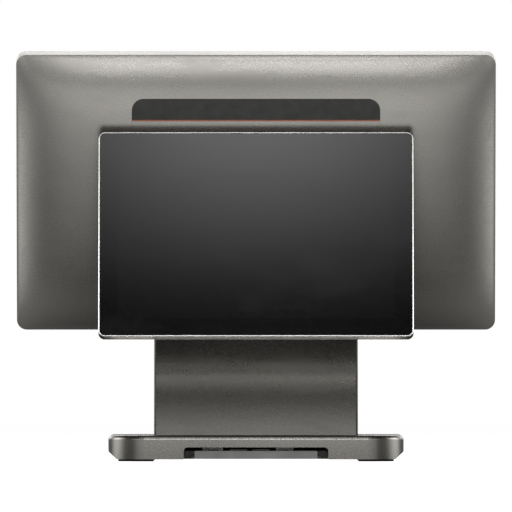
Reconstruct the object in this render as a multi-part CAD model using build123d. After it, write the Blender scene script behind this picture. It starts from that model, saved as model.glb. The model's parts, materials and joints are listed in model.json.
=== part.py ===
from build123d import *
import math
import os

# Counter-top point-of-sale terminal. Millimetres, +Z up, origin on the standing surface at the
# middle of the footprint. The customer stands at -Y and the cashier at +Y.

# ---- driving dimensions -------------------------------------------------------------------
TILT = 15.0                 # lean of both screens from upright, degrees
SIN, COS = math.sin(math.radians(TILT)), math.cos(math.radians(TILT))

MAIN_W, MAIN_H, MAIN_R = 376.0, 223.0, 8.0      # main display outline and corner radius
MAIN_EDGE, MAIN_CROWN = 12.0, 10.4             # edge thickness, extra thickness at the middle
MAIN_Y, MAIN_Z = -15.5, 213.8                   # middle of the main glass
LCD_W, LCD_H = 351.0, 206.0                     # 15.6 inch panel outline

CUST_W, CUST_H, CUST_R = 246.4, 165.8, 5.0      # customer display outline and corner radius
CUST_EDGE, CUST_CROWN = 9.2, 7.8
CUST_Y, CUST_Z = -85.3, 177.7                   # middle of the customer glass
CUST_LCD_W, CUST_LCD_H = 229.0, 149.0           # 10.1 inch panel outline

BASE_W, BASE_D, BASE_R = 231.0, 210.0, 28.0     # base outline and plan corner radius
FOOT_H, FOOT_IN, BASE_TOP = 1.6, 7.6, 20.4      # feet height and inset, top of the base
BASE_FILLET = 3.5                               # rounded top edge
BEVEL_IN, BEVEL_UP = 6.6, 6.0                   # cut-back lower edge of the base's two flanks
BASE_WALL, BASE_LOW_WALL = 2.8, 9.6             # wall above and below the step over the cut-back
BASE_STEP_Z, BASE_ROOF_Z = 8.4, 17.9            # step in the wall, underside of the roof

NECK_W, NECK_T = 159.5, 16.0                    # neck width and thickness
NECK_R = 350.0                                  # radius of its hollow customer face
NECK_CY, NECK_CZ = -392.0, 190.0                # centre of that radius
NECK_TOP = 135.0
NECK_WALL, NECK_EDGE = 2.2, 1.6                 # cover thickness, rounding of the long edges
SPINE_R, SPINE_T, SPINE_HALF = 356.5, 3.0, 55.0
TAB_R, TAB_T = 359.6, 2.8                       # hinge housing's two tabs behind the spine

HINGE_Y, HINGE_Z = -36.0, 150.0                 # main tilt axis
BARREL_R, BARREL_HALF = 13.0, 72.0
SHAFT_R, FIT = 4.0, 0.05                        # tilt shaft and its radial running clearance
EAR_IN, EAR_OUT = 73.0, 77.5                    # where the main display's ears stand in X

PIVOT_Y, PIVOT_Z = -55.5, 175.0                 # customer display's tilt axis
PIVOT_BARREL_R, PIVOT_BARREL_HALF = 8.0, 31.0
PIVOT_SHAFT_R = 3.0
PIVOT_EAR_IN, PIVOT_EAR_OUT = 31.5, 35.0

SLOT_HALF, SLOT_TOP, SLOT_R = 56.5, 11.0, 3.0   # cable opening in the base's customer side
COVER_HALF, COVER_LIP_TOP = 48.0, 8.2           # sliding port cover
COVER_FRONT, COVER_BACK = -98.0, -30.4

STRIP_HALF, STRIP_LOW, STRIP_HIGH, STRIP_R = 97.5, 61.4, 78.2, 9.6   # trim strip on the main back
ACCENT_LOW = 60.4
SERVICE_LOW, SERVICE_R = -86.0, 9.6
POCKET = 1.3                                    # depth of the shallow pocket they all lie in

BUTTON_X, BUTTON_D = 150.0, 5.5                 # power button along the main lower edge

# Local frames: X, up the screen, and depth behind the glass.
MAIN = Plane(origin=(0, MAIN_Y, MAIN_Z), x_dir=(1, 0, 0), z_dir=(0, -COS, -SIN))
CUST = Plane(origin=(0, CUST_Y, CUST_Z), x_dir=(-1, 0, 0), z_dir=(0, COS, -SIN))


# ---- helpers ------------------------------------------------------------------------------
def block(x0, x1, y0, y1, z0, z1):
    """A box between two corners."""
    return Pos((x0 + x1) / 2, (y0 + y1) / 2, (z0 + z1) / 2) * Box(x1 - x0, y1 - y0, z1 - z0)


def plate(width, height, radius, z0, z1, x=0.0, y=0.0):
    """A rounded rectangle between two levels."""
    return Pos(x, y, z0) * extrude(RectangleRounded(width, height, radius), amount=z1 - z0)


def ring(outer, inner, radius, z0, z1):
    """A rectangular ring between two levels, from (width, height) pairs."""
    hole = plate(inner[0], inner[1], max(radius - (outer[0] - inner[0]) / 2, 0.6), z0 - 1, z1 + 1)
    return plate(outer[0], outer[1], radius, z0, z1) - hole


def rod(radius, z0, z1, x=0.0, y=0.0):
    """A cylinder along Z."""
    return Pos(x, y, (z0 + z1) / 2) * Cylinder(radius, z1 - z0)


def rod_x(radius, x0, x1, y, z):
    """A cylinder along X."""
    return Pos((x0 + x1) / 2, y, z) * Rot(0, 90, 0) * Cylinder(radius, x1 - x0)


def rod_y(radius, y0, y1, x, z):
    """A cylinder along Y."""
    return Pos(x, (y0 + y1) / 2, z) * Rot(90, 0, 0) * Cylinder(radius, y1 - y0)


def both_sides(shape):
    """The shape and its mirror image across the middle plane."""
    return [shape, mirror(shape, Plane.YZ)]


def local(plane, y, z):
    """Up and depth of a world (y, z) point in a display's local frame."""
    place = plane.to_local_coords(Vector(0, y, z))
    return place.Y, place.Z


def crown_above(width, height, edge, crown, powers, drop=0.0):
    """Everything beyond a pillow-shaped back, lowered by drop."""
    columns, rows = 37, 29
    points = []
    for i in range(columns):
        s = math.sin((i / (columns - 1) - 0.5) * math.pi)
        line = []
        for j in range(rows):
            t = math.sin((j / (rows - 1) - 0.5) * math.pi)
            rise = crown * (1 - abs(s) ** powers[0]) * (1 - abs(t) ** powers[1])
            line.append(Vector(s * width / 2, t * height / 2, edge + rise - drop))
        points.append(line)
    face = Face.make_surface_from_array_of_points(points, tol=0.01, min_deg=3, max_deg=5)
    return Solid.extrude(face, Vector(0, 0, 3 * (edge + crown)))


def main_above(drop=0.0):
    return crown_above(MAIN_W + 0.2, MAIN_H + 0.2, MAIN_EDGE, MAIN_CROWN, (10, 6), drop)


def cust_above(drop=0.0):
    return crown_above(CUST_W + 0.2, CUST_H + 0.2, CUST_EDGE, CUST_CROWN, (9, 6), drop)


def neck_band(r_in, r_out, half, z_low, z_high):
    """A stretch of curved plate round the neck's axis."""
    band = Cylinder(r_out, 2 * half) - Cylinder(r_in, 2 * half)
    band = Pos(0, NECK_CY, NECK_CZ) * Rot(0, 90, 0) * band
    return band & block(-half - 1, half + 1, -130, 0, z_low, z_high)


def on_neck(radius, x, z):
    """A frame on one of the neck's curved faces, its Z axis pointing to the cashier."""
    rise = z - NECK_CZ
    reach = math.sqrt(radius ** 2 - rise ** 2)
    place = Plane(origin=(x, NECK_CY + reach, z), x_dir=(1, 0, 0), z_dir=(0, reach, rise))
    return place.location


def screw(head_r, head_h, shank_r, length):
    """A pan-head screw along +Z, its head's top at z=0 and its shank going down."""
    head = fillet(rod(head_r, -head_h, 0).edges().group_by(Axis.Z)[-1], head_h * 0.4)
    drive = extrude(RegularPolygon(head_r * 0.45, 6), amount=-head_h * 0.6)
    return head - drive + rod(shank_r, -length, -head_h)


def countersunk(head_r, shank_r, length, grow=0.0):
    """A countersunk screw along -Z into the part above: head's face at z=0, shank going up."""
    head_h = head_r - shank_r
    cone = Pos(0, 0, head_h / 2) * Cone(head_r + grow, shank_r + grow, head_h)
    return cone + rod(shank_r + grow, head_h, length)


def strip_outline(low, high, half, top_r, bottom_r):
    """Outline with rounded top and bottom corners, in a display's local frame."""
    face = Pos(0, (low + high) / 2) * Rectangle(2 * half, high - low)
    corners = face.vertices().group_by(Axis.Y)
    if top_r:
        face = fillet(corners[-1], top_r)
    if bottom_r:
        face = fillet(face.vertices().group_by(Axis.Y)[0], bottom_r)
    return face


# ---- base ---------------------------------------------------------------------------------
SCREW_SPOTS = [(x, y) for x in (-92, 92) for y in (-78, 0, 84)]
TROUGH_BACK, TROUGH_STEP = -26.0, -60.0
TROUGH_ROOF_LOW, TROUGH_ROOF_HIGH = 11.0, 16.2


def flank_profile():
    """A long bar along Y whose section cuts back the lower edges of the base's flanks."""
    half, low = BASE_W / 2 + 1, FOOT_H - 1
    foot = BASE_W / 2 - BEVEL_IN * (BEVEL_UP + 1) / BEVEL_UP
    corners = [(-foot, low), (foot, low), (BASE_W / 2, FOOT_H + BEVEL_UP), (half, FOOT_H + BEVEL_UP),
               (half, BASE_TOP + 1), (-half, BASE_TOP + 1), (-half, FOOT_H + BEVEL_UP),
               (-BASE_W / 2, FOOT_H + BEVEL_UP)]
    return extrude(Plane.XZ * make_face(Polyline(*corners, close=True)), amount=BASE_D, both=True)


def base_shell():
    shell = plate(BASE_W, BASE_D, BASE_R, FOOT_H, BASE_TOP)
    shell = fillet(shell.faces().sort_by(Axis.Z)[-1].edges(), BASE_FILLET)
    shell &= flank_profile()
    low, high = 2 * BASE_LOW_WALL, 2 * BASE_WALL
    shell -= plate(BASE_W - low, BASE_D - low, BASE_R - BASE_LOW_WALL, 0, BASE_STEP_Z)
    shell -= plate(BASE_W - high, BASE_D - high, BASE_R - BASE_WALL, BASE_STEP_Z, BASE_ROOF_Z)
    opening = Rectangle(2 * SLOT_HALF, 2 * SLOT_TOP)
    opening = fillet(opening.vertices(), SLOT_R)
    shell -= Pos(0, -BASE_D / 2 - 1, 0) * extrude(Plane.XZ * opening, amount=-12)
    shell -= plate(2 * SPINE_HALF + 4, 11.5, 2.0, 15, 22, y=-76.75)
    for x, y in SCREW_SPOTS:
        shell += rod(3.6, 3.2, BASE_ROOF_Z + 0.5, x, y)
        shell -= rod(1.55, 3.0, 14, x, y)
    for x in (-65, 65):
        for y in (-90, -66):
            shell -= rod(2.05, 15, 19.4, x, y)
    return shell


def base_floor():
    edge = 2 * BASE_LOW_WALL + 0.4
    floor = plate(BASE_W - edge, BASE_D - edge, BASE_R - edge / 2, FOOT_H, FOOT_H + 1.4)
    floor -= block(-58.3, 58.3, -110, TROUGH_BACK - 1.4, 0, 5)
    for x, y in SCREW_SPOTS:
        floor -= Pos(x, y, FOOT_H) * countersunk(3.0, 1.5, 8, 0.06)
    for row in range(5):
        floor -= plate(64, 3.0, 1.4, 0, 5, y=36 + 7 * row)
    return floor


def base_feet():
    pad = plate(BASE_W - 2 * FOOT_IN, BASE_D - 2 * FOOT_IN, BASE_R - FOOT_IN, 0, FOOT_H)
    pad = chamfer(pad.faces().sort_by(Axis.Z)[0].edges(), 0.4)
    feet = []
    for sx in (-1, 1):
        for sy in (-1, 1):
            corner = plate(40, 40, 3, -1, FOOT_H + 1, x=sx * 100, y=sy * 92)
            feet.append(pad & corner)
    return feet


def base_screws():
    return [Pos(x, y, FOOT_H) * countersunk(3.0, 1.5, 11) for x, y in SCREW_SPOTS]


def ballast_plate():
    return plate(168, 62, 6, 3.2, 15.2, y=62) - plate(40, 12, 5, 3, 16, y=62)


def cable_trough():
    front = block(-58, 58, -95.2, TROUGH_STEP, 3.2, TROUGH_ROOF_LOW + 1.4)
    back = block(-58, 58, TROUGH_STEP, TROUGH_BACK, 3.2, TROUGH_ROOF_HIGH + 1.4)
    trough = front + back
    trough -= block(-SLOT_HALF, SLOT_HALF, -100, TROUGH_STEP, 3, TROUGH_ROOF_LOW)
    trough -= block(-SLOT_HALF, SLOT_HALF, TROUGH_STEP - 1, TROUGH_BACK + 1, 3, TROUGH_ROOF_HIGH)
    trough += block(-58, 58, TROUGH_STEP, TROUGH_STEP + 1.4, TROUGH_ROOF_LOW, TROUGH_ROOF_HIGH + 1)
    return trough


def cover_rails():
    rail = block(COVER_HALF + 0.4, SLOT_HALF - 0.2, COVER_FRONT, -30, 1.9, 8.3)
    rail -= block(COVER_HALF, COVER_HALF + 2.9, COVER_FRONT - 1, -29, 2.5, 4.5)
    rail -= block(COVER_HALF, COVER_HALF + 2.2, -94, -29, 6.6, 9)
    return both_sides(rail)


def cable_cover():
    lip = plate(2 * COVER_HALF, COVER_LIP_TOP - 1.9, 0.8, 0, 2.0)
    lip = Pos(0, COVER_FRONT + 2.0, (COVER_LIP_TOP + 1.9) / 2) * Rot(90, 0, 0) * lip
    floor = block(-COVER_HALF - 2.5, COVER_HALF + 2.5, COVER_FRONT + 3.5, COVER_BACK, 2.8, 4.2)
    neck = block(-COVER_HALF + 0.4, COVER_HALF - 0.4, COVER_FRONT + 1.5, COVER_FRONT + 4, 2.2, 4.2)
    cover = lip + floor + neck
    for x in (-47.3, 47.3):
        cover -= block(x - 0.35, x + 0.35, COVER_FRONT - 1, COVER_FRONT + 0.5, 1, 9)
    for row in range(4):
        cover -= plate(60, 2.4, 1.1, 2, 3.2, y=-84 + 6 * row)
    return cover


# Sockets along the port panel: x centre, width, low z, high z, depth into the base.
LAN = (-34.0, 16.0, 3.4, 15.8, 21.0)
USB = [(-13.5, 13.2, 3.4, 9.0, 17.0), (4.0, 13.2, 3.4, 9.0, 17.0)]
DRAWER = (22.5, 13.4, 3.4, 14.6, 18.0)
JACK = (42.0, 10.0, 3.4, 14.2, 14.0)
PANEL_FRONT = TROUGH_BACK - 1.2


def socket_body(place, grow=0.0):
    x, width, low, high, depth = place
    half = width / 2 + grow
    return block(x - half, x + half, PANEL_FRONT - 0.4, PANEL_FRONT + depth, low - grow, high + grow)


def port_panel():
    panel = block(-56.3, 56.3, PANEL_FRONT, TROUGH_BACK, 3.2, TROUGH_ROOF_HIGH - 0.1)
    for place in [LAN, DRAWER, JACK] + USB:
        panel -= socket_body(place, 0.15)
    return panel


def io_board():
    board = block(-54, 54, TROUGH_BACK + 0.4, 28, 4.6, 6.2)
    for place in [LAN, DRAWER, JACK] + USB:
        board -= socket_body(place, 0.1)
    board += block(-20, -4, 8, 20, 6.2, 8.0)
    board += block(10, 22, 6, 18, 6.2, 7.6)
    board += block(30, 44, 10, 20, 6.2, 11.0)
    for x in (-48, 48):
        board -= rod(1.7, 4, 7, x, 22)
    return board


def lan_socket():
    x, width, low, high, depth = LAN
    body = socket_body(LAN)
    body -= block(x - 5.9, x + 5.9, PANEL_FRONT - 1, PANEL_FRONT + 13, low + 1.2, high - 3.6)
    body -= block(x - 3.2, x + 3.2, PANEL_FRONT - 1, PANEL_FRONT + 8, high - 4, high - 1.4)
    return body


def usb_sockets():
    sockets = []
    for place in USB:
        x, width, low, high, depth = place
        body = socket_body(place)
        body -= block(x - 6.1, x + 6.1, PANEL_FRONT - 1, PANEL_FRONT + 12, low + 0.5, high - 0.5)
        body += block(x - 5.6, x + 5.6, PANEL_FRONT + 0.8, PANEL_FRONT + 13, high - 2.6, high - 0.9)
        sockets.append(body)
    return sockets


def drawer_socket():
    x, width, low, high, depth = DRAWER
    body = socket_body(DRAWER)
    body -= block(x - 4.9, x + 4.9, PANEL_FRONT - 1, PANEL_FRONT + 11, low + 1.2, high - 3.4)
    body -= block(x - 2.0, x + 2.0, PANEL_FRONT - 1, PANEL_FRONT + 7, high - 4, high - 1.4)
    return body


def dc_jack():
    x, width, low, high, depth = JACK
    middle = (low + high) / 2
    body = socket_body(JACK)
    body -= rod_y(3.2, PANEL_FRONT - 1, PANEL_FRONT + 10, x, middle)
    body += rod_y(1.0, PANEL_FRONT + 0.6, PANEL_FRONT + 11, x, middle)
    return body


# ---- neck and main hinge ------------------------------------------------------------------
TAB_SCREWS = [(x, z) for x in (-40, 40) for z in (119, 128)]
ARM_SCREWS = [(x, 121) for x in (-17, 17)]
ARM_HALF, ARM_LOW = 25.0, 113.0                 # half width and foot of the customer display's arm


def neck_outer():
    body = neck_band(NECK_R, NECK_R + NECK_T, NECK_W / 2, BASE_TOP + 0.05, NECK_TOP)
    long_edges = [e for e in body.edges() if e.geom_type == GeomType.CIRCLE and e.length > 100]
    body = fillet(long_edges, NECK_EDGE)
    inner = neck_band(NECK_R + NECK_WALL, NECK_R + NECK_T - NECK_WALL, NECK_W / 2 - NECK_WALL,
                      BASE_TOP - 1, NECK_TOP - 2.4)
    body -= inner
    body -= neck_band(SPINE_R - 1, TAB_R + TAB_T + 0.4, SPINE_HALF + 1, NECK_TOP - 5, NECK_TOP + 1)
    return body


def neck_cover_customer():
    cover = neck_outer() & neck_band(NECK_R - 1, NECK_R + NECK_T / 2 - 0.15, NECK_W, 0, 200)
    return cover - block(-ARM_HALF - 0.4, ARM_HALF + 0.4, -60, -38, ARM_LOW - 0.4, ARM_LOW + 15.4)


def neck_cover_operator():
    return neck_outer() & neck_band(NECK_R + NECK_T / 2 + 0.15, NECK_R + NECK_T + 1, NECK_W, 0, 200)


def neck_spine():
    spine = neck_band(SPINE_R, SPINE_R + SPINE_T, SPINE_HALF, 15.0, NECK_TOP - 1)
    foot = plate(144, 36, 4, 13.6, 17.7, y=-79)
    spine += foot - plate(60, 8, 2, 13, 18, y=-69)
    for x in (-65, 65):
        for y in (-90, -66):
            spine -= rod(2.1, 12, 19, x, y)
    for x, z in TAB_SCREWS:
        spine -= on_neck(SPINE_R, x, z) * rod(1.6, -5, 10)
    for x, z in ARM_SCREWS:
        spine -= on_neck(SPINE_R, x, z) * rod(2.1, -5, 10)
    for z in (42, 68, 94):
        spine -= Pos(0, -60, z) * Rot(90, 0, 0) * plate(60, 14, 6, -40, 40)
    return spine


def spine_screws():
    foot_screw = Rot(180, 0, 0) * screw(3.4, 2.2, 2.0, 7.6)
    screws = [Pos(x, y, 11.3) * foot_screw for x in (-65, 65) for y in (-90, -66)]
    seat = Pos(0, 0, TAB_R + TAB_T - SPINE_R + 0.75)
    screws += [on_neck(SPINE_R, x, z) * seat * screw(3.0, 0.7, 1.5, 7.5) for x, z in TAB_SCREWS]
    return screws


def harness_ribbon():
    return neck_band(SPINE_R + SPINE_T + 1.2, SPINE_R + SPINE_T + 2.2, 11, 19, NECK_TOP - 4)


def hinge_housing():
    housing = rod_x(BARREL_R, -BARREL_HALF, BARREL_HALF, HINGE_Y, HINGE_Z)
    housing = chamfer(housing.edges().filter_by(GeomType.CIRCLE), 0.8)
    tabs = neck_band(TAB_R, TAB_R + TAB_T, 50, 113, HINGE_Z - 8)
    tabs -= block(-31, 31, -60, 0, 100, HINGE_Z)
    housing += tabs
    housing -= rod_x(BARREL_R - 3.0, -90, 90, HINGE_Y, HINGE_Z)
    for x, z in TAB_SCREWS:
        housing -= on_neck(SPINE_R, x, z) * rod(1.6, -5, 10)
    return housing


def tube_pair(outer, inner, x0, x1, y, z):
    """Two rings on an X axis, one on each side."""
    return both_sides(rod_x(outer, x0, x1, y, z) - rod_x(inner, x0 - 1, x1 + 1, y, z))


def hinge_bushes():
    return tube_pair(BARREL_R - 3.0, SHAFT_R + FIT, 64, 71.5, HINGE_Y, HINGE_Z)


def friction_stacks():
    stacks = []
    for k in range(6):
        x0 = 50 + 2.2 * k
        outer = 9.4 if k % 2 == 0 else 8.2
        stacks += tube_pair(outer, SHAFT_R + FIT, x0, x0 + 2.2, HINGE_Y, HINGE_Z)
    return [Compound(stacks[0::2]), Compound(stacks[1::2])]


def tilt_shaft():
    shaft = rod_x(SHAFT_R, -EAR_OUT - 0.6, EAR_OUT + 0.6, HINGE_Y, HINGE_Z)
    return chamfer(shaft.edges().filter_by(GeomType.CIRCLE), 0.5)


def hinge_caps():
    cap = rod_x(10.8, EAR_OUT + 0.05, NECK_W / 2, HINGE_Y, HINGE_Z)
    cap = fillet(cap.edges().sort_by(Axis.X)[-1], 1.0)
    cap -= rod_x(SHAFT_R + 0.3, EAR_OUT - 1, EAR_OUT + 0.9, HINGE_Y, HINGE_Z)
    return both_sides(cap)


# ---- main display (local frame: X, up, depth behind the glass) -------------------------------
HINGE_UP, HINGE_DEEP = local(MAIN, HINGE_Y, HINGE_Z)
PLATE_LOW, PLATE_HIGH = 16.2, 18.7              # hinge plate's depths
PLATE_UP = HINGE_UP + 30                        # middle of the hinge plate
STANDOFFS = [(x, PLATE_UP + v) for x in (-84, 84) for v in (-34, 34)]
SERVICE_SCREWS = [(x, v) for x in (-88, 88) for v in (-76, 50)]


def main_shell_local():
    shell = plate(MAIN_W, MAIN_H, MAIN_R, 0.2, 40) - main_above()
    shell -= plate(MAIN_W - 4, MAIN_H - 4, MAIN_R - 2, -1, 40) - main_above(2.2)
    pocket = strip_outline(SERVICE_LOW, STRIP_HIGH, STRIP_HALF, STRIP_R, SERVICE_R)
    shell -= extrude(pocket, amount=60) & main_above(POCKET)
    shell -= ear_slots()
    shell -= plate(96, 36, 3, 15, 30, y=30)
    for x, v in SERVICE_SCREWS:
        shell -= rod(1.6, 15, 30, x, v)
    shell -= button_hole()
    for side in (-1, 1):
        for k in range(12):
            x = side * 125 + (k - 5.5) * 4.0
            shell -= Pos(x, -MAIN_H / 2, 6.0) * Rot(90, 0, 0) * plate(1.6, 3.6, 0.7, -3, 3)
    return shell


def ear_slots():
    slots = [plate(EAR_OUT - EAR_IN + 1.4, 25, 1.5, 15, 60, x=s * (EAR_IN + EAR_OUT) / 2, y=HINGE_UP)
             for s in (-1, 1)]
    return slots[0] + slots[1]


def button_hole():
    return block(BUTTON_X - 8.3, BUTTON_X + 8.3, -MAIN_H / 2 - 1, -MAIN_H / 2 + 3,
                 BUTTON_D - 2.2, BUTTON_D + 2.2)


def button_bay():
    """Room that the frame and gasket leave for the button and its switch."""
    return block(BUTTON_X - 11, BUTTON_X + 11, -MAIN_H / 2, -MAIN_H / 2 + 8.3, 2.0, 12)


def surface_skin(outline, top, bottom):
    """A thin piece that follows the crowned back between two drops below its surface."""
    return extrude(outline, amount=60) & (main_above(bottom) - main_above(top))


def service_cover():
    outline = strip_outline(SERVICE_LOW + 0.25, ACCENT_LOW - 0.1, STRIP_HALF - 0.25, 0, SERVICE_R)
    cover = surface_skin(outline, 0.0, POCKET - 0.05) - ear_slots()
    for x, v in SERVICE_SCREWS:
        cover -= rod(1.6, 15, 30, x, v) + rod(2.9, 21.3, 30, x, v)
    for k in range(7):
        cover -= plate(46, 2.2, 1.0, 15, 30, y=15 + 5 * k)
    return cover


def service_screws():
    return [Pos(x, v, 21.9) * screw(2.7, 0.55, 1.5, 5.0) for x, v in SERVICE_SCREWS]


def trim_strip():
    outline = strip_outline(STRIP_LOW, STRIP_HIGH - 0.2, STRIP_HALF - 0.2, STRIP_R - 0.2, 0)
    return surface_skin(outline, 0.15, POCKET - 0.05)


def accent_line():
    outline = strip_outline(ACCENT_LOW, STRIP_LOW - 0.05, STRIP_HALF - 0.2, 0, 0)
    return surface_skin(outline, 0.05, POCKET - 0.05)


def main_touch_glass():
    glass = plate(MAIN_W - 4.3, MAIN_H - 4.3, MAIN_R - 2.15, 0, 1.8)
    return chamfer(glass.faces().sort_by(Axis.Z)[0].edges(), 0.3)


def main_lcd_panel():
    return plate(LCD_W, LCD_H, 1.0, 1.9, 4.9)


def screen_gasket():
    return ring((MAIN_W - 7, MAIN_H - 7), (LCD_W + 3, LCD_H + 2), 4.5, 1.8, 4.0) - button_bay()


def main_mid_frame():
    width, height = MAIN_W - 4.6, MAIN_H - 4.6
    frame = plate(width, height, 5.5, 5.1, 6.6)
    frame += ring((width, height), (LCD_W + 2, LCD_H + 2), 5.5, 4.05, 5.2)
    frame -= button_bay()
    for x, v in STANDOFFS:
        frame += rod(4.0, 6.5, PLATE_LOW, x, v)
        frame -= rod(1.5, 9, 30, x, v)
    for x in (-150, -110, 110, 150):
        frame -= plate(26, 70, 6, 5, 7, x=x, y=10)
    return frame


def mainboard():
    board = plate(150, 104, 2, 8.6, 10.2, y=-4)
    chips = [(0, 0, 22, 22, 1.3), (34, 6, 12, 16, 1.1), (34, -14, 12, 16, 1.1), (-48, 32, 18, 14, 2.4),
             (-56, -20, 24, 10, 4.0), (-20, -44, 30, 8, 5.0), (20, -44, 24, 8, 5.0), (60, 30, 14, 20, 3.0)]
    for x, v, width, height, tall in chips:
        board += block(x - width / 2, x + width / 2, v - height / 2, v + height / 2, 10.1, 10.2 + tall)
    return board


def heat_spreader():
    spreader = plate(86, 34, 2, 11.55, 13.0, x=4, y=-1)
    for k in range(9):
        spreader += block(-36 + 10 * k, -34.8 + 10 * k, -16, 14, 12.9, 15.6)
    return spreader


def speakers():
    box = plate(50, 20, 3, 7.0, 11.6, x=125, y=-86)
    box -= plate(30, 10, 4.8, 11.0, 12.0, x=125, y=-86)
    return both_sides(box)


def wifi_aerials():
    return both_sides(plate(44, 8, 1, 7.0, 7.8, x=120, y=98))


def main_hinge_plate():
    hinge = plate(190, 84, 4, PLATE_LOW + 0.05, PLATE_HIGH, y=PLATE_UP)
    hinge -= plate(100, 40, 6, 15, 22, y=PLATE_UP + 10)
    for s in (-1, 1):
        x0, x1 = sorted((s * EAR_IN, s * EAR_OUT))
        arm = block(x0, x1, HINGE_UP - 11, HINGE_UP + 11, PLATE_HIGH - 1, HINGE_DEEP)
        eye = Pos((x0 + x1) / 2, HINGE_UP, HINGE_DEEP) * Rot(0, 90, 0) * Cylinder(11, x1 - x0)
        hinge += arm + eye
    hinge -= Pos(0, HINGE_UP, HINGE_DEEP) * Rot(0, 90, 0) * Cylinder(SHAFT_R + 0.02, 200)
    for x, v in STANDOFFS:
        hinge -= rod(1.8, 15, 22, x, v)
    return hinge


def hinge_plate_screws():
    return [Pos(x, v, PLATE_HIGH + 0.3) * screw(3.2, 0.28, 1.45, 8.5) for x, v in STANDOFFS]


def power_button():
    edge = -MAIN_H / 2
    cap = block(BUTTON_X - 8, BUTTON_X + 8, edge - 0.5, edge + 2.6, BUTTON_D - 1.9, BUTTON_D + 1.9)
    cap = fillet(cap.edges().filter_by(Axis.Y), 1.2)
    cap = fillet(cap.faces().sort_by(Axis.Y)[0].edges(), 0.3)
    return cap + block(BUTTON_X - 9.2, BUTTON_X + 9.2, edge + 2.3, edge + 3.1,
                       BUTTON_D - 2.4, BUTTON_D + 2.4)


def button_switch():
    edge = -MAIN_H / 2
    body = block(BUTTON_X - 3.2, BUTTON_X + 3.2, edge + 4.4, edge + 7.8, BUTTON_D - 2, BUTTON_D + 2)
    return body + Pos(BUTTON_X, edge + 4.15, BUTTON_D) * Rot(90, 0, 0) * Cylinder(1.2, 0.7)


# ---- customer display (local frame: -X, up, depth behind the glass) --------------------------
PIVOT_UP, PIVOT_DEEP = local(CUST, PIVOT_Y, PIVOT_Z)
CUST_SCREWS = [(x, v) for x in (-100, 100) for v in (-62, 62)]
RIM = 0.9                                       # width of the bright rim round the glass


def customer_rear_shell():
    shell = plate(CUST_W, CUST_H, CUST_R, 2.05, 40) - cust_above()
    shell -= plate(CUST_W - 4, CUST_H - 4, CUST_R - 2, 1, 40) - cust_above(2.0)
    shell -= pivot_slots()
    for x, v in CUST_SCREWS:
        shell -= rod(1.5, 8, 30, x, v)
        shell -= rod(2.8, CUST_EDGE + 4.6, 30, x, v)
    return shell


def pivot_slots():
    wide = PIVOT_EAR_OUT - PIVOT_EAR_IN + 1.2
    slots = [plate(wide, 17, 1.5, 10, 60, x=s * (PIVOT_EAR_IN + PIVOT_EAR_OUT) / 2, y=PIVOT_UP)
             for s in (-1, 1)]
    return slots[0] + slots[1]


def customer_frame():
    frame = plate(CUST_W, CUST_H, CUST_R, 0, 2.0)
    frame = chamfer(frame.faces().sort_by(Axis.Z)[0].edges(), 0.35)
    return frame - plate(CUST_W - 2 * RIM, CUST_H - 2 * RIM, CUST_R - RIM, -1, 3)


def customer_glass():
    gap = 2 * RIM + 0.2
    glass = plate(CUST_W - gap, CUST_H - gap, CUST_R - gap / 2, 0.1, 1.9)
    return chamfer(glass.faces().sort_by(Axis.Z)[0].edges(), 0.25)


def customer_lcd_panel():
    return plate(CUST_LCD_W, CUST_LCD_H, 1.0, 2.1, 4.7)


def customer_driver_board():
    board = plate(96, 44, 2, 6.6, 8.0, y=-40)
    for x, width, tall in ((-30, 16, 1.2), (0, 10, 1.0), (28, 22, 2.6)):
        board += block(x - width / 2, x + width / 2, -46, -34, 7.9, 8.0 + tall)
    return board


def customer_mid_plate():
    """Steel tray that carries the panel, with posts for the hinge plate and the rear screws."""
    tray = plate(CUST_W - 6, CUST_H - 6, 3, 4.9, 5.9)
    for x in (-50, 50):
        for v in (-10, 22):
            tray += rod(3.4, 5.8, 11.4, x, v)
            tray -= rod(1.3, 7, 20, x, v)
    for x, v in CUST_SCREWS:
        tray += rod(3.0, 5.8, CUST_EDGE + 1.2, x, v)
        tray -= rod(1.3, 6.5, 20, x, v)
    return tray


def customer_hinge_plate():
    hinge = plate(112, 44, 3, 11.45, 13.4, y=6)
    for s in (-1, 1):
        x0, x1 = sorted((s * PIVOT_EAR_IN, s * PIVOT_EAR_OUT))
        arm = block(x0, x1, PIVOT_UP - 7, PIVOT_UP + 7, 12.5, PIVOT_DEEP)
        eye = Pos((x0 + x1) / 2, PIVOT_UP, PIVOT_DEEP) * Rot(0, 90, 0) * Cylinder(7, x1 - x0)
        hinge += arm + eye
    hinge -= Pos(0, PIVOT_UP, PIVOT_DEEP) * Rot(0, 90, 0) * Cylinder(PIVOT_SHAFT_R + 0.02, 120)
    for x in (-50, 50):
        for v in (-10, 22):
            hinge -= rod(1.4, 10, 20, x, v)
    return hinge


def customer_screws():
    screws = [Pos(x, v, CUST_EDGE + 5.2) * screw(2.6, 0.6, 1.25, 6.0) for x, v in CUST_SCREWS]
    screws += [Pos(x, v, 14.0) * screw(2.4, 0.55, 1.25, 5.5) for x in (-50, 50) for v in (-10, 22)]
    return screws


def customer_shaft():
    shaft = rod_x(PIVOT_SHAFT_R, -PIVOT_EAR_OUT - 0.8, PIVOT_EAR_OUT + 0.8, PIVOT_Y, PIVOT_Z)
    return chamfer(shaft.edges().filter_by(GeomType.CIRCLE), 0.4)


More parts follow.
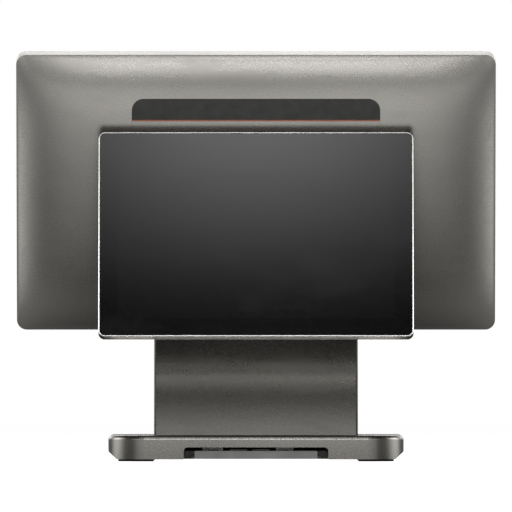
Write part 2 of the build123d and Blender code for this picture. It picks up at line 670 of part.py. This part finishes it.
def customer_bracket():
    """Upright arm from the neck's spine to the customer hinge's barrel."""
    upright = block(-ARM_HALF, ARM_HALF, -55.5, -51.2, ARM_LOW, PIVOT_Z - 3)
    upright = fillet(upright.edges().filter_by(Axis.Z), 1.0)
    spacer = block(-ARM_HALF, ARM_HALF, -52, -44.2, ARM_LOW, ARM_LOW + 15)
    barrel = rod_x(PIVOT_BARREL_R, -PIVOT_BARREL_HALF, PIVOT_BARREL_HALF, PIVOT_Y, PIVOT_Z)
    barrel = chamfer(barrel.edges().filter_by(GeomType.CIRCLE), 0.5)
    bracket = upright + spacer + barrel
    bracket -= rod_x(PIVOT_SHAFT_R + FIT, -60, 60, PIVOT_Y, PIVOT_Z)
    for end in both_sides(rod_x(6.0, 19, 40, PIVOT_Y, PIVOT_Z)):
        bracket -= end
    for x, z in ARM_SCREWS:
        bracket -= on_neck(SPINE_R, x, z) * rod(2.0, -7.5, 1)
    return bracket


def bracket_screws():
    seat = Pos(0, 0, SPINE_T + 2.05)
    return [on_neck(SPINE_R, x, z) * seat * screw(3.4, 2.0, 1.95, 11.5) for x, z in ARM_SCREWS]


def friction_rings():
    return tube_pair(5.95, PIVOT_SHAFT_R + FIT, 19.1, 30.5, PIVOT_Y, PIVOT_Z)


# ---- write one file per piece ---------------------------------------------------------------
WORLD_PARTS = [
    base_shell, base_floor, base_feet, base_screws, ballast_plate, cable_trough, cover_rails,
    cable_cover, port_panel, io_board, lan_socket, usb_sockets, drawer_socket, dc_jack,
    neck_cover_customer, neck_cover_operator, neck_spine, spine_screws, harness_ribbon,
    hinge_housing, hinge_bushes, friction_stacks, tilt_shaft, hinge_caps,
    customer_shaft, customer_bracket, bracket_screws, friction_rings,
]
MAIN_PARTS = [
    service_cover, service_screws, trim_strip, accent_line, main_touch_glass, main_lcd_panel,
    screen_gasket, main_mid_frame, mainboard, heat_spreader, speakers, wifi_aerials,
    main_hinge_plate, hinge_plate_screws, power_button, button_switch,
]
CUSTOMER_PARTS = [
    customer_rear_shell, customer_frame, customer_glass, customer_lcd_panel, customer_driver_board,
    customer_mid_plate, customer_hinge_plate, customer_screws,
]


def write(name, shapes, place):
    """Place a piece, or a group of alike pieces, and write its file."""
    shapes = shapes if isinstance(shapes, list) else [shapes]
    solids = [solid for shape in shapes for solid in (place * shape).solids()]
    export_step(Compound(solids), "parts/" + name + ".step")


def main():
    os.makedirs("parts", exist_ok=True)
    world = Location()
    for make in WORLD_PARTS:
        write(make.__name__, make(), world)
    write("main_rear_shell", main_shell_local(), MAIN.location)
    for make in MAIN_PARTS:
        write(make.__name__, make(), MAIN.location)
    for make in CUSTOMER_PARTS:
        write(make.__name__, make(), CUST.location)


main()
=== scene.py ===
import json
import math

import bmesh
import bpy
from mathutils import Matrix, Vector


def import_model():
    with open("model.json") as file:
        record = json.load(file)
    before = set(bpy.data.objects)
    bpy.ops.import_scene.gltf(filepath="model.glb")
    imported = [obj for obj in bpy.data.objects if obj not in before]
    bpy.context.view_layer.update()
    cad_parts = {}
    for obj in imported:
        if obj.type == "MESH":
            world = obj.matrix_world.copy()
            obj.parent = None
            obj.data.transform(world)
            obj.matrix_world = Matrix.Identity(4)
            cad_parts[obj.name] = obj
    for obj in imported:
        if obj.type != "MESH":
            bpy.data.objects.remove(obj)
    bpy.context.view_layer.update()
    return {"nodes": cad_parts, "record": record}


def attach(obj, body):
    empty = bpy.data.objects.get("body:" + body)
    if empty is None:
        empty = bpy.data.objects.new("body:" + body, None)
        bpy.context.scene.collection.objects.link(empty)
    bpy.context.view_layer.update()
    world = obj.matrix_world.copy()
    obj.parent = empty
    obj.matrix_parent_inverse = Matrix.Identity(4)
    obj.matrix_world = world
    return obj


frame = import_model()
NODES = frame["nodes"]
MM = 0.001


# ---- material helpers ---------------------------------------------------------------------
MIX_FIRST, MIX_SECOND, MIX_RESULT = 6, 7, 2     # the colour sockets of a Mix node
BEVEL_SAMPLES = 4


class Shader:
    """A principled material and short calls that add procedural nodes to it."""

    def __init__(self, name, color, rough, metal=0.0, **inputs):
        self.material = bpy.data.materials.new(name)
        self.material.use_nodes = True
        self.tree = self.material.node_tree
        self.surface = self.tree.nodes["Principled BSDF"]
        self.set("Base Color", (*color, 1.0))
        self.set("Roughness", rough)
        self.set("Metallic", metal)
        for key, value in inputs.items():
            self.set(key.replace("_", " "), value)
        self.color = None
        self.rough = None
        self.normal = None

    def set(self, socket, value):
        self.surface.inputs[socket].default_value = value

    def node(self, kind, **settings):
        made = self.tree.nodes.new("ShaderNode" + kind)
        for key, value in settings.items():
            if hasattr(made, key):
                setattr(made, key, value)
            else:
                made.inputs[key.replace("_", " ")].default_value = value
        return made

    def link(self, source, target):
        self.tree.links.new(source, target)

    def place(self, stretch=(1, 1, 1)):
        """Object coordinates in metres, stretched along an axis when asked."""
        coords = self.node("TexCoord").outputs["Object"]
        if stretch == (1, 1, 1):
            return coords
        mapping = self.node("Mapping")
        mapping.inputs["Scale"].default_value = stretch
        self.link(coords, mapping.inputs["Vector"])
        return mapping.outputs["Vector"]

    def noise(self, scale, detail=3.0, stretch=(1, 1, 1)):
        made = self.node("TexNoise", Scale=scale, Detail=detail)
        self.link(self.place(stretch), made.inputs["Vector"])
        return made.outputs["Fac"]

    def cells(self, scale):
        made = self.node("TexVoronoi", Scale=scale)
        self.link(self.place(), made.inputs["Vector"])
        return made.outputs["Distance"]

    def span(self, value, from_low, from_high, low=0.0, high=1.0, smooth=False):
        """Maps a stretch of a pattern onto a range."""
        made = self.node("MapRange", interpolation_type="SMOOTHSTEP" if smooth else "LINEAR")
        ends = {"From Min": from_low, "From Max": from_high, "To Min": low, "To Max": high}
        for key, number in ends.items():
            made.inputs[key].default_value = number
        self.link(value, made.inputs["Value"])
        return made.outputs["Result"]

    def math(self, operation, first, second):
        made = self.node("Math", operation=operation)
        for socket, value in zip(made.inputs, (first, second)):
            if isinstance(value, float):
                socket.default_value = value
            else:
                self.link(value, socket)
        return made.outputs[0]

    def tone(self, value, color_a, color_b, low=0.35, high=0.65):
        """Base colour that drifts between two colours with a pattern."""
        ramp = self.node("ValToRGB")
        ramp.color_ramp.elements[0].position = low
        ramp.color_ramp.elements[0].color = (*color_a, 1)
        ramp.color_ramp.elements[1].position = high
        ramp.color_ramp.elements[1].color = (*color_b, 1)
        self.link(value, ramp.inputs["Fac"])
        self.color = ramp.outputs["Color"]
        self.link(self.color, self.surface.inputs["Base Color"])

    def over(self, mask, color):
        """Lays a colour over the base colour where the mask is 1."""
        mix = self.node("Mix", data_type="RGBA")
        self.link(mask, mix.inputs["Factor"])
        self.link(self.color, mix.inputs[MIX_FIRST])
        mix.inputs[MIX_SECOND].default_value = (*color, 1)
        self.color = mix.outputs[MIX_RESULT]
        self.link(self.color, self.surface.inputs["Base Color"])

    def vary_rough(self, value, low, high):
        """Roughness that drifts between two values with a pattern."""
        self.rough = self.span(value, 0.3, 0.7, low, high)
        self.link(self.rough, self.surface.inputs["Roughness"])

    def add_rough(self, mask, amount):
        """Adds to the roughness where the mask is 1."""
        self.rough = self.math("ADD", self.rough, self.math("MULTIPLY", mask, amount))
        self.link(self.rough, self.surface.inputs["Roughness"])

    def bump(self, value, distance, strength):
        made = self.node("Bump", Strength=strength, Distance=distance)
        self.link(value, made.inputs["Height"])
        if self.normal is not None:
            self.link(self.normal, made.inputs["Normal"])
        self.normal = made.outputs["Normal"]
        self.link(self.normal, self.surface.inputs["Normal"])

    def soft_edges(self, radius):
        """Rounds what the light sees of each hard edge, by a real radius."""
        made = self.node("Bevel", samples=BEVEL_SAMPLES, Radius=radius)
        self.normal = made.outputs["Normal"]
        self.link(self.normal, self.surface.inputs["Normal"])

    def edge_mask(self, radius, spots):
        """Worn edges: where a rounded normal leaves the flat one, broken up by a pattern."""
        bevel = self.node("Bevel", samples=BEVEL_SAMPLES, Radius=radius)
        flat = self.node("NewGeometry")
        dot = self.node("VectorMath", operation="DOT_PRODUCT")
        self.link(bevel.outputs["Normal"], dot.inputs[0])
        self.link(flat.outputs["True Normal"], dot.inputs[1])
        edge = self.span(dot.outputs["Value"], 0.995, 0.88)
        return self.math("MULTIPLY", edge, spots)


def shade(color, factor):
    """A colour made lighter or darker."""
    return tuple(c * factor for c in color)


def satin_metal(name, color, rough, edge=0.0, painted_side_shade=False):
    """Bead-blasted and anodised metal: fine grain, faint wipe marks and tone drift.

    When asked, surfaces that face left or right are rougher and painted darker: painted shade that dims
    the side lights' highlight on them.
    """
    made = Shader(name, color, rough, metal=1.0)
    if edge:
        made.soft_edges(edge)
    made.tone(made.noise(9.0, 2.0), shade(color, 0.96), shade(color, 1.05))
    made.vary_rough(made.noise(900.0, 2.0), rough - 0.02, rough + 0.02)
    made.add_rough(made.span(made.noise(26.0, 3.0, (1, 1, 3.5)), 0.52, 0.75), 0.03)
    if painted_side_shade:
        sides = made.node("SeparateXYZ")
        made.link(made.node("NewGeometry").outputs["Normal"], sides.inputs[0])
        side_shade_mask = made.span(made.math("ABSOLUTE", sides.outputs["X"], 0.0), 0.15, 0.4)
        made.add_rough(side_shade_mask, 0.4)
        # painted shade: the colour of surfaces facing left or right is darkened, which dims the side
        # lights' highlight on them
        made.over(side_shade_mask, shade(color, 0.45))
    return made.material


def turned_metal(name, color, rough):
    """Machined or ground metal with fine lines round the X axis and an uneven sheen."""
    made = Shader(name, color, rough, metal=1.0)
    made.soft_edges(0.0002)
    made.tone(made.noise(70.0), shade(color, 0.85), color)
    lines = made.noise(90.0, 4.0, (60, 1, 1))
    made.vary_rough(lines, rough - 0.07, rough + 0.09)
    made.bump(lines, 0.00002, 0.4)
    return made.material


def plated_steel(name, color, rough):
    """Zinc-plated sheet or cast alloy: cloudy tone, spangle and small scuffs."""
    made = Shader(name, color, rough, metal=1.0)
    made.soft_edges(0.0002)
    made.tone(made.cells(240.0), shade(color, 0.84), color, 0.1, 0.7)
    made.vary_rough(made.noise(120.0, 5.0), rough - 0.08, rough + 0.1)
    made.add_rough(made.span(made.noise(420.0, 3.0, (1, 7, 7)), 0.6, 0.7), 0.12)
    made.bump(made.noise(900.0, 3.0), 0.00003, 0.3)
    return made.material


def moulded_plastic(name, color, rough, texture=2600.0, depth=0.00003, edge=0.0003, shine=0.35):
    """Spark-textured moulding: fine leathery grain, drifting gloss and edges rubbed shiny."""
    made = Shader(name, color, rough, Specular_IOR_Level=shine)
    made.soft_edges(edge)
    made.tone(made.noise(40.0), shade(color, 0.9), shade(color, 1.08))
    made.vary_rough(made.noise(160.0, 4.0), rough - 0.06, rough + 0.06)
    made.bump(made.cells(texture), depth, 0.45)
    worn = made.edge_mask(edge * 1.2, made.span(made.noise(300.0, 3.0), 0.45, 0.6, 0.0, 0.6))
    made.add_rough(worn, -0.12)
    made.over(worn, tuple(min(c * 1.35 + 0.01, 1) for c in color))
    return made.material


PICTURE_BLUR = 0.0004     # half of the soft step round the picture area


def black_glass(name, middle, up, half_width, half_height):
    """Black-backed glass. The picture area behind it reads a shade lighter than its border."""
    made = Shader(name, (0.004, 0.004, 0.0045), 0.05, IOR=1.52)
    made.soft_edges(0.0003)
    made.tone(made.noise(30.0), (0.0036, 0.0036, 0.004), (0.0044, 0.0044, 0.005))
    place = made.place()
    sides = made.node("SeparateXYZ")
    made.link(place, sides.inputs[0])
    offset = made.node("VectorMath", operation="SUBTRACT")
    made.link(place, offset.inputs[0])
    offset.inputs[1].default_value = middle
    along = made.node("VectorMath", operation="DOT_PRODUCT")
    made.link(offset.outputs["Vector"], along.inputs[0])
    along.inputs[1].default_value = up
    height = along.outputs["Value"]
    across = made.math("ABSOLUTE", sides.outputs["X"], 0.0)
    mask = made.span(across, half_width - PICTURE_BLUR, half_width + PICTURE_BLUR, 1.0, 0.0)
    above_foot = made.span(height, -half_height - PICTURE_BLUR, -half_height + PICTURE_BLUR)
    below_head = made.span(height, half_height - PICTURE_BLUR, half_height + PICTURE_BLUR, 1.0, 0.0)
    mask = made.math("MULTIPLY", mask, above_foot)
    mask = made.math("MULTIPLY", mask, below_head)
    made.over(mask, (0.0085, 0.0085, 0.009))
    smears = made.span(made.noise(16.0, 4.0, (1, 1, 2.2)), 0.5, 0.72)
    made.vary_rough(made.noise(350.0, 2.0), 0.045, 0.06)
    made.add_rough(smears, 0.03)
    return made.material


def circuit_board(name):
    """Solder mask with copper runs under it and rows of small pads."""
    made = Shader(name, (0.02, 0.13, 0.06), 0.35)
    made.tone(made.noise(60.0, 3.0), (0.012, 0.10, 0.045), (0.022, 0.145, 0.065))
    runs = made.node("TexBrick", Scale=260.0, Mortar_Size=0.03, Brick_Width=1.6, Row_Height=0.5)
    made.link(made.place(), runs.inputs["Vector"])
    made.over(made.span(runs.outputs["Fac"], 0.4, 0.6, 0.0, 0.5), (0.06, 0.26, 0.12))
    made.vary_rough(made.noise(800.0, 2.0), 0.28, 0.42)
    made.bump(runs.outputs["Fac"], 0.00004, 0.5)
    return made.material


def rubber(name):
    """Matt black rubber with a fine texture."""
    made = Shader(name, (0.022, 0.022, 0.022), 0.72, Specular_IOR_Level=0.3)
    made.soft_edges(0.0003)
    made.tone(made.noise(90.0, 4.0), (0.018, 0.018, 0.018), (0.034, 0.033, 0.032))
    made.vary_rough(made.noise(500.0, 3.0), 0.62, 0.8)
    made.bump(made.noise(2400.0, 2.0), 0.00005, 0.5)
    return made.material


def flex_film(name):
    """Flat cable: parallel conductors that show through a satin film."""
    made = Shader(name, (0.7, 0.68, 0.62), 0.38)
    lanes = made.node("TexWave", Scale=160.0, bands_direction="X")
    made.link(made.place(), lanes.inputs["Vector"])
    made.tone(lanes.outputs["Fac"], (0.42, 0.36, 0.24), (0.75, 0.73, 0.68), 0.3, 0.6)
    made.vary_rough(made.noise(200.0), 0.32, 0.45)
    made.bump(lanes.outputs["Fac"], 0.00005, 0.4)
    return made.material


def accent(name):
    """Glossy orange moulding with a faint glow of its own."""
    made = Shader(name, (0.62, 0.13, 0.035), 0.3, Emission_Strength=0.03, Coat_Weight=0.3)
    made.set("Emission Color", (1.0, 0.25, 0.06, 1.0))
    made.tone(made.noise(120.0, 2.0), (0.40, 0.08, 0.02), (0.50, 0.105, 0.03))
    made.vary_rough(made.noise(600.0, 2.0), 0.24, 0.36)
    made.bump(made.noise(1800.0, 2.0), 0.00002, 0.3)
    return made.material


def panel_film(name):
    """Pale reflector film on the back of a display panel, faintly rippled."""
    made = Shader(name, (0.55, 0.55, 0.54), 0.3)
    made.soft_edges(0.0003)
    made.tone(made.noise(25.0, 3.0), (0.48, 0.48, 0.47), (0.60, 0.60, 0.59))
    made.vary_rough(made.noise(90.0, 3.0), 0.24, 0.4)
    made.bump(made.noise(60.0, 3.0), 0.0002, 0.4)
    return made.material


# ---- materials ----------------------------------------------------------------------------
LEAN = math.radians(15.0)
# middle of each picture area, its upward direction, half its width and half its height, in metres
CUSTOMER_PICTURE = (
    (0.0, -85.3 * MM, 177.7 * MM), (0.0, math.sin(LEAN), math.cos(LEAN)), 0.1085, 0.0678,
)
CASHIER_PICTURE = (
    (0.0, -15.5 * MM, 213.8 * MM), (0.0, -math.sin(LEAN), math.cos(LEAN)), 0.1722, 0.0968,
)
WARM_GREY = (0.305, 0.294, 0.274)
MATERIALS = {
    "shell_metal": satin_metal("warm_grey_metal", WARM_GREY, 0.28),
    "silver_frame": satin_metal("silver_metal", (0.80, 0.80, 0.78), 0.22),
    "hinge_metal": satin_metal("dark_metal", (0.12, 0.12, 0.115), 0.38, edge=0.0003),
    "button_metal": satin_metal("button_metal", (0.25, 0.245, 0.235), 0.28, edge=0.0002),
    "screen_glass": black_glass("customer_black_glass", *CUSTOMER_PICTURE),
    "trim_black": moulded_plastic(
        "trim_black", (0.016, 0.016, 0.013), 0.36, texture=4200.0, depth=0.00001, edge=0.0002, shine=0.5),
    "accent_orange": accent("accent_orange"),
    "cover_plastic": moulded_plastic("cover_plastic", (0.72, 0.71, 0.70), 0.5),
    "rail_plastic": moulded_plastic("rail_plastic", (0.07, 0.07, 0.066), 0.5),
    "dark_plastic": moulded_plastic("dark_plastic", (0.022, 0.022, 0.022), 0.52),
    "jack_plastic": moulded_plastic("jack_plastic", (0.012, 0.012, 0.012), 0.42, edge=0.0002),
    "circuit_board": circuit_board("solder_mask"),
    "socket_metal": turned_metal("tinned_steel", (0.62, 0.62, 0.60), 0.26),
    "sheet_steel": plated_steel("zinc_plated_steel", (0.45, 0.45, 0.44), 0.36),
    "frame_alloy": plated_steel("cast_alloy", (0.50, 0.50, 0.50), 0.46),
    "bright_steel": turned_metal("ground_steel", (0.58, 0.58, 0.58), 0.2),
    "screw_steel": turned_metal("blackened_steel", (0.20, 0.20, 0.205), 0.32),
    "bush_brass": turned_metal("sintered_brass", (0.70, 0.50, 0.22), 0.4),
    "panel_back": panel_film("reflector_film"),
    "foot_rubber": rubber("foot_rubber"),
    "ribbon_film": flex_film("ribbon_film"),
}
# metal for the neck covers, with painted shade on the surfaces that face left or right
NECK_METAL = satin_metal("neck_metal", WARM_GREY, 0.28, painted_side_shade=True)
# nodes whose look differs from the rest of their slot
BY_NODE = {
    "main_touch_glass": black_glass("cashier_black_glass", *CASHIER_PICTURE),
    "neck_cover_customer": NECK_METAL,
    "neck_cover_operator": NECK_METAL,
}
for part in frame["record"]["subparts"]:
    node = NODES[part["node"]]
    node.data.materials.clear()
    node.data.materials.append(BY_NODE.get(part["node"], MATERIALS[part["material_slot"]]))


# ---- small pieces: spring contacts inside the sockets -------------------------------------------
def strip_piece(name, paths, width, thick, body, material):
    """Thin bent strips, each along a path of (x, y, z) points in millimetres."""
    mesh = bpy.data.meshes.new(name)
    shape = bmesh.new()
    for path in paths:
        rings = []
        for x, y, z in path:
            left = x - width / 2
            right = x + width / 2
            corners = [(left, y, z), (right, y, z), (right, y, z - thick), (left, y, z - thick)]
            rings.append([shape.verts.new(Vector(corner) * MM) for corner in corners])
        for first, second in zip(rings, rings[1:]):
            for k in range(4):
                shape.faces.new((first[k], first[(k + 1) % 4], second[(k + 1) % 4], second[k]))
        shape.faces.new(rings[0][::-1])
        shape.faces.new(rings[-1])
    bmesh.ops.recalc_face_normals(shape, faces=shape.faces)
    shape.to_mesh(mesh)
    shape.free()
    made = bpy.data.objects.new(name, mesh)
    bpy.context.collection.objects.link(made)
    mesh.materials.append(material)
    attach(made, body)


MODULAR_PITCH = 1.02
MODULAR_PATH = ((-25.6, 5.2), (-24.6, 5.3), (-17.0, 8.6), (-15.6, 8.8))      # (y, z) points
USB_PATH = ((-25.8, 6.38), (-25.2, 6.3), (-17.6, 6.3))                       # (y, z) points
USB_MIDDLES = (-13.5, 4.0)
USB_OFFSETS = (-3.5, -1.0, 1.0, 3.5)


def modular_pins(centre, count):
    """Spring wires of a modular socket: flat at the mouth, then rising towards the back."""
    spots = [centre + (k - (count - 1) / 2) * MODULAR_PITCH for k in range(count)]
    return [[(x, y, z) for y, z in MODULAR_PATH] for x in spots]


GOLD = turned_metal("gold_contacts", (0.85, 0.62, 0.28), 0.22)
strip_piece("network_contacts", modular_pins(-34.0, 8), 0.4, 0.3, "base", GOLD)
strip_piece("drawer_contacts", modular_pins(22.5, 6), 0.4, 0.3, "base", GOLD)
USB_PINS = [
    [(middle + offset, y, z) for y, z in USB_PATH]
    for middle in USB_MIDDLES
    for offset in USB_OFFSETS
]
strip_piece("usb_contacts", USB_PINS, 1.0, 0.18, "base", GOLD)


# ---- stage, lights and camera -----------------------------------------------------------------
def glow_material(name, strength, soft):
    """Light from the front of a card. It fades to nothing at the edges and lets other light through."""
    made = Shader(name, (0, 0, 0), 1.0)
    sides = made.node("SeparateXYZ")
    made.link(made.node("TexCoord").outputs["Generated"], sides.inputs[0])
    level = made.math("SUBTRACT", 1.0, made.node("NewGeometry").outputs["Backfacing"])
    for axis in ("X", "Y"):
        for edge, inner in ((0.0, soft / 2), (1.0, 1 - soft / 2)):
            fade = made.span(sides.outputs[axis], edge, inner, smooth=True)
            level = made.math("MULTIPLY", level, fade)
    glow = made.node("Emission")
    made.link(made.math("MULTIPLY", level, float(strength)), glow.inputs["Strength"])
    both = made.node("AddShader")
    made.link(glow.outputs[0], both.inputs[0])
    made.link(made.node("BsdfTransparent").outputs[0], both.inputs[1])
    made.link(both.outputs[0], made.tree.nodes["Material Output"].inputs["Surface"])
    made.tree.nodes.remove(made.surface)
    return made.material


def flat_sheet(name, width, height):
    """A flat rectangle that belongs to the stage and not to the object."""
    mesh = bpy.data.meshes.new(name)
    shape = bmesh.new()
    bmesh.ops.create_grid(shape, x_segments=1, y_segments=1, size=0.5)
    bmesh.ops.scale(shape, vec=(width, height, 1), verts=shape.verts)
    shape.to_mesh(mesh)
    shape.free()
    made = bpy.data.objects.new(name, mesh)
    bpy.context.collection.objects.link(made)
    return made


# the way a card shines; "inward" is for the card on the right, and is mirrored on the left
FACING = {
    "up": (0, 0, 1),
    "down": (0, 0, -1),
    "inward": (-1, 0, 0),
    "back": (0, 1, 0),
    "front": (0, -1, 0),
}
LAYER = 0.0001      # overlapping cards stand this far apart


def card(number, name, faces, place, size, soft, strength):
    """A soft light that the camera doesn't see. Off the middle, it is a mirrored pair."""
    material = glow_material(name, strength, soft)
    for side in ((1, -1) if place[0] else (1,)):
        made = flat_sheet(name, *size)
        facing = Vector(FACING[faces])
        facing.x *= side
        middle = Vector((side * place[0], place[1], place[2]))
        made.location = middle + facing * LAYER * (2 * number + (side < 0))
        made.rotation_euler = facing.to_track_quat("Z", "Y").to_euler()
        made.data.materials.append(material)
        made.visible_camera = False
        made.visible_shadow = False


def floor():
    """Pale floor that only the camera sees. The low cards give the metal its view of a floor."""
    made = flat_sheet("floor", FLOOR_SIZE, FLOOR_SIZE)
    look = Shader("floor_paint", (0.8, 0.8, 0.8), 0.6, Emission_Strength=FLOOR_GLOW)
    look.set("Emission Color", (1, 1, 1, 1))
    look.vary_rough(look.noise(60.0), 0.55, 0.7)
    made.data.materials.append(look.material)
    made.visible_diffuse = False
    made.visible_glossy = False
    made.visible_transmission = False


def world():
    """White to the camera, and a faint even fill for the object."""
    made = bpy.data.worlds.new("studio")
    bpy.context.scene.world = made
    made.use_nodes = True
    tree = made.node_tree
    fill = tree.nodes["Background"]
    fill.inputs["Color"].default_value = (1, 1, 1, 1)
    fill.inputs["Strength"].default_value = FILL
    white = tree.nodes.new("ShaderNodeBackground")
    white.inputs["Color"].default_value = (1, 1, 1, 1)
    path = tree.nodes.new("ShaderNodeLightPath")
    mix = tree.nodes.new("ShaderNodeMixShader")
    tree.links.new(path.outputs["Is Camera Ray"], mix.inputs["Fac"])
    tree.links.new(fill.outputs[0], mix.inputs[1])
    tree.links.new(white.outputs[0], mix.inputs[2])
    tree.links.new(mix.outputs[0], tree.nodes["World Output"].inputs["Surface"])


def camera():
    """A very long lens, far off, that looks at the object from the customer's side."""
    data = bpy.data.cameras.new("camera")
    data.lens = LENS
    data.sensor_width = SENSOR
    view = bpy.data.objects.new("camera", data)
    bpy.context.collection.objects.link(view)
    distance = VIEW_WIDTH * LENS / SENSOR
    view.location = (0, FOCUS_Y - distance, CAMERA_HEIGHT)
    aim = Vector((0, 0, AIM_HEIGHT))
    view.rotation_euler = (aim - view.location).to_track_quat("-Z", "Y").to_euler()
    data.clip_start, data.clip_end = 1.0, 60.0
    bpy.context.scene.camera = view


LENS, SENSOR = 1400.0, 36.0             # millimetres
VIEW_WIDTH = 0.4019                     # metres across the picture at the object
FOCUS_Y = -0.03                         # where that width is measured
CAMERA_HEIGHT, AIM_HEIGHT = 0.10, 0.1609
FLOOR_SIZE, FLOOR_GLOW = 12.0, 0.97
FILL = 0.02                             # strength of the even light on the object
# name, way it faces, middle, size, share of the card that fades, strength
LIGHTS = [
    ("floor_far", "up", (0, -1.3, 0.0006), (3.0, 2.2), 1.0, 1.3),
    ("floor_mid", "up", (0, -0.65, 0.0006), (0.9, 0.9), 1.0, 1.0),
    ("floor_sides", "up", (0.62, -0.25, 0.0006), (0.7, 0.9), 1.0, 1.3),
    ("floor_near", "up", (0.36, -0.12, 0.0006), (0.8, 0.5), 1.0, 0.4),
    ("wall_low", "back", (0, -3.0, 0.35), (4.4, 0.9), 0.5, 0.85),
    ("wall_high", "back", (0, -3.0, 1.25), (5.6, 1.05), 0.35, 0.7),
    ("wall_spot", "back", (0, -3.0, 0.75), (0.5, 0.9), 1.0, 6.5),
    ("crown", "back", (0, -3.0, 1.3), (0.4, 0.95), 1.0, 11.5),
    ("key", "back", (0, -3.0, 2.12), (0.65, 0.7), 1.0, 4.3),
    ("roof_front", "down", (0, -1.2, 2.4), (1.2, 1.6), 1.0, 1.0),
    ("roof_far", "down", (0, -1.7, 2.6), (1.0, 1.4), 1.0, 0.8),
    ("side_front", "inward", (0.6, -0.6, 0.25), (0.9, 0.6), 1.0, 0.1),
    ("side_mid", "inward", (0.6, 0, 0.2), (0.7, 0.6), 1.0, 3.7),
    ("side_back", "inward", (0.6, 0.5, 0.25), (0.7, 0.6), 1.0, 1.0),
    ("back_top", "front", (0, 1.7, 1.05), (2.4, 1.2), 1.0, 4.0),
    ("back_sides", "front", (0.8, 1.5, 0.45), (1.1, 1.0), 1.0, 3.0),
    ("roof_back", "down", (0, 0.9, 1.5), (1.6, 1.0), 1.0, 1.6),
    ("neck_fill", "back", (0, -0.078, 0.112), (0.3, 0.06), 1.0, 0.05),
]

floor()
world()
camera()
for number, light in enumerate(LIGHTS):
    card(number, *light)
bpy.context.scene.view_settings.view_transform = "Standard"
